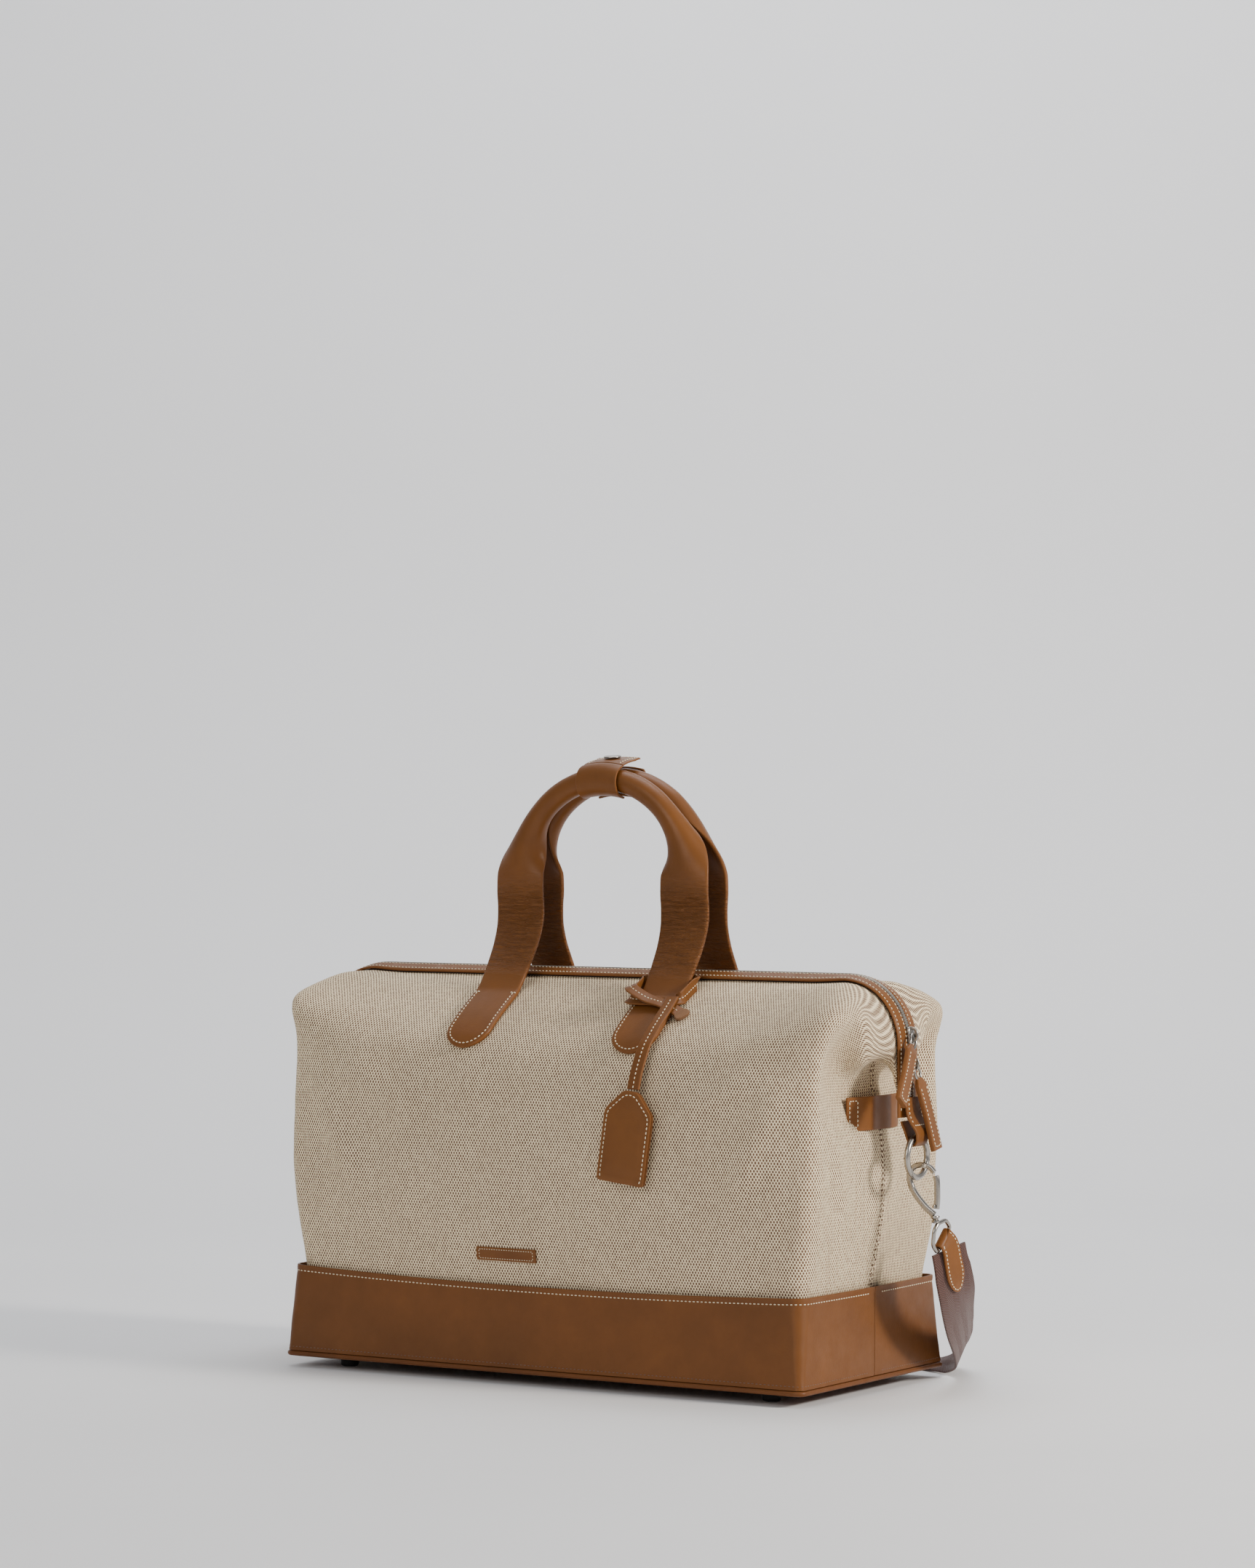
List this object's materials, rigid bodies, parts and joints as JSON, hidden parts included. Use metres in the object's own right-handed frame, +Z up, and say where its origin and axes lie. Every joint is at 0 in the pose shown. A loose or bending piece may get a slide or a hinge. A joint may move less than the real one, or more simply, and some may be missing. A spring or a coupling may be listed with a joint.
{
  "type": "weekender bag",
  "caption": "Soft holdall with a two-tone woven canvas body, leather base, rolled leather handles with a snap keeper, two-way zip, luggage tag and a clip-on webbing shoulder strap",
  "frame": {"origin": "on the floor below the middle of the bag's box, without its free shoulder strap", "axes": "+X towards the bag's right end (where the zip sliders are parked), +Y towards the back, +Z up"},
  "size_m": [0.6304, 0.328, 0.511],
  "materials": {
    "canvas": "two-tone basket weave, matt",
    "base_leather": "smooth tan, low sheen",
    "trim_leather": "smooth tan, satin",
    "rubber": "matt",
    "stiffener": "matt board",
    "lining": "twill",
    "zip_tape": "twill tape",
    "core_cord": "cotton cord",
    "zip_metal": "antique nickel plate",
    "nickel": "satin nickel plate",
    "card": "uncoated card",
    "webbing": "herringbone webbing"
  },
  "bodies": {
    "root": {"canvas_front": "canvas", "canvas_back": "canvas", "base_band_front": "base_leather", "base_band_back": "base_leather", "base_panel": "base_leather", "base_board": "stiffener", "base_piping": "base_leather", "foot_front_left": "rubber", "foot_front_right": "rubber", "foot_back_left": "rubber", "foot_back_right": "rubber", "lining": "lining", "zip_band_front": "trim_leather", "zip_band_back": "trim_leather", "zip_tape_front": "zip_tape", "zip_tape_back": "zip_tape", "zip_chain": "zip_metal", "zip_end_tab_right": "trim_leather", "zip_end_tab_left": "trim_leather", "side_strap_right": "trim_leather", "side_strap_left": "trim_leather", "handle_tab_front_left": "trim_leather", "handle_tab_front_right": "trim_leather", "handle_tab_back_left": "trim_leather", "handle_tab_back_right": "trim_leather", "tag_loop": "trim_leather", "shoulder_strap": "webbing", "strap_end_right": "trim_leather", "strap_end_left": "trim_leather", "strap_loop_right": "nickel", "strap_loop_left": "nickel", "blank_plate": "trim_leather"},
    "front_handle": {"handle_front": "trim_leather", "handle_core_front": "core_cord", "keeper_sleeve_front": "trim_leather"},
    "back_handle": {"handle_back": "trim_leather", "handle_core_back": "core_cord", "keeper_sleeve_back": "trim_leather"},
    "keeper": {"keeper_flap": "trim_leather", "snap_cap": "nickel"},
    "upper_slider": {"slider_upper": "nickel"},
    "upper_pull": {"pull_link_upper": "nickel", "pull_leather_upper": "trim_leather"},
    "lower_slider": {"slider_lower": "nickel"},
    "lower_pull": {"pull_link_lower": "nickel", "pull_leather_lower": "trim_leather"},
    "right_ring": {"strap_ring_right": "nickel"},
    "left_ring": {"strap_ring_left": "nickel"},
    "right_hook": {"hook_body_right": "nickel", "hook_swivel_right": "nickel"},
    "left_hook": {"hook_body_left": "nickel", "hook_swivel_left": "nickel"},
    "right_gate": {"hook_gate_right": "nickel"},
    "left_gate": {"hook_gate_left": "nickel"},
    "tag": {"tag_strap": "trim_leather", "tag_holder": "trim_leather"},
    "tag_card": {"tag_card": "card"},
    "adjuster": {"strap_adjuster": "nickel"}
  },
  "joints": [
    {"name": "front_handle_swing", "type": "hinge", "parent": "root", "child": "front_handle", "pos_m": [0, -0.0447, 0.316], "axis": [1, 0, 0], "range_deg": [0, 85]},
    {"name": "back_handle_swing", "type": "hinge", "parent": "root", "child": "back_handle", "pos_m": [0, 0.0553, 0.316], "axis": [-1, 0, 0], "range_deg": [0, 85]},
    {"name": "keeper_flap_open", "type": "hinge", "parent": "front_handle", "child": "keeper", "pos_m": [0, -0.0073, 0.5044], "axis": [1, 0, 0], "range_deg": [0, 110]},
    {"name": "upper_slider_travel", "type": "hinge", "parent": "root", "child": "upper_slider", "pos_m": [0.226, 0.0053, 0.279], "axis": [0, -1, 0], "range_deg": [0, 80]},
    {"name": "upper_pull_lift", "type": "hinge", "parent": "upper_slider", "child": "upper_pull", "pos_m": [0.28621, 0.0053, 0.28746], "axis": [0, -1, 0], "range_deg": [0, 15]},
    {"name": "lower_slider_travel", "type": "slide", "parent": "root", "child": "lower_slider", "axis": [0, 0, 1], "range_m": [-0.005, 0]},
    {"name": "lower_pull_lift", "type": "hinge", "parent": "lower_slider", "child": "lower_pull", "pos_m": [0.2868, 0.0053, 0.264], "axis": [0, -1, 0], "range_deg": [0, 35]},
    {"name": "right_ring_swing", "type": "hinge", "parent": "root", "child": "right_ring", "pos_m": [0.2885, 0.0053, 0.2068], "axis": [0, 1, 0], "range_deg": [-3, 3]},
    {"name": "left_ring_swing", "type": "hinge", "parent": "root", "child": "left_ring", "pos_m": [-0.2885, 0.0053, 0.2068], "axis": [0, 1, 0], "range_deg": [-3, 3]},
    {"name": "right_hook_swivel", "type": "hinge", "parent": "root", "child": "right_hook", "pos_m": [0.3048, 0.0053, 0.1432], "axis": [-0.0995, 0, 0.995], "range_deg": [-6, 6]},
    {"name": "left_hook_swivel", "type": "hinge", "parent": "root", "child": "left_hook", "pos_m": [-0.3048, 0.0053, 0.1432], "axis": [0.0995, 0, 0.995], "range_deg": [-6, 6]},
    {"name": "right_gate_open", "type": "hinge", "parent": "right_hook", "child": "right_gate", "pos_m": [0.3062, 0.0053, 0.1512], "axis": [0, -1, 0], "range_deg": [0, 18], "stiffness_Nm_per_rad": 0.05},
    {"name": "left_gate_open", "type": "hinge", "parent": "left_hook", "child": "left_gate", "pos_m": [-0.3062, 0.0053, 0.1512], "axis": [0, 1, 0], "range_deg": [0, 18], "stiffness_Nm_per_rad": 0.05},
    {"name": "tag_swing", "type": "hinge", "parent": "root", "child": "tag", "pos_m": [0.0985, -0.0576, 0.3137], "axis": [-1, 0, 0], "range_deg": [0, 18]},
    {"name": "tag_card_slide", "type": "slide", "parent": "tag", "child": "tag_card", "axis": [-0.1252, -0.0301, -0.9917], "range_m": [0, 0.045]},
    {"name": "strap_adjuster_slide", "type": "slide", "parent": "root", "child": "adjuster", "axis": [1, 0, 0], "range_m": [-0.05, 0.05]}
  ]
}
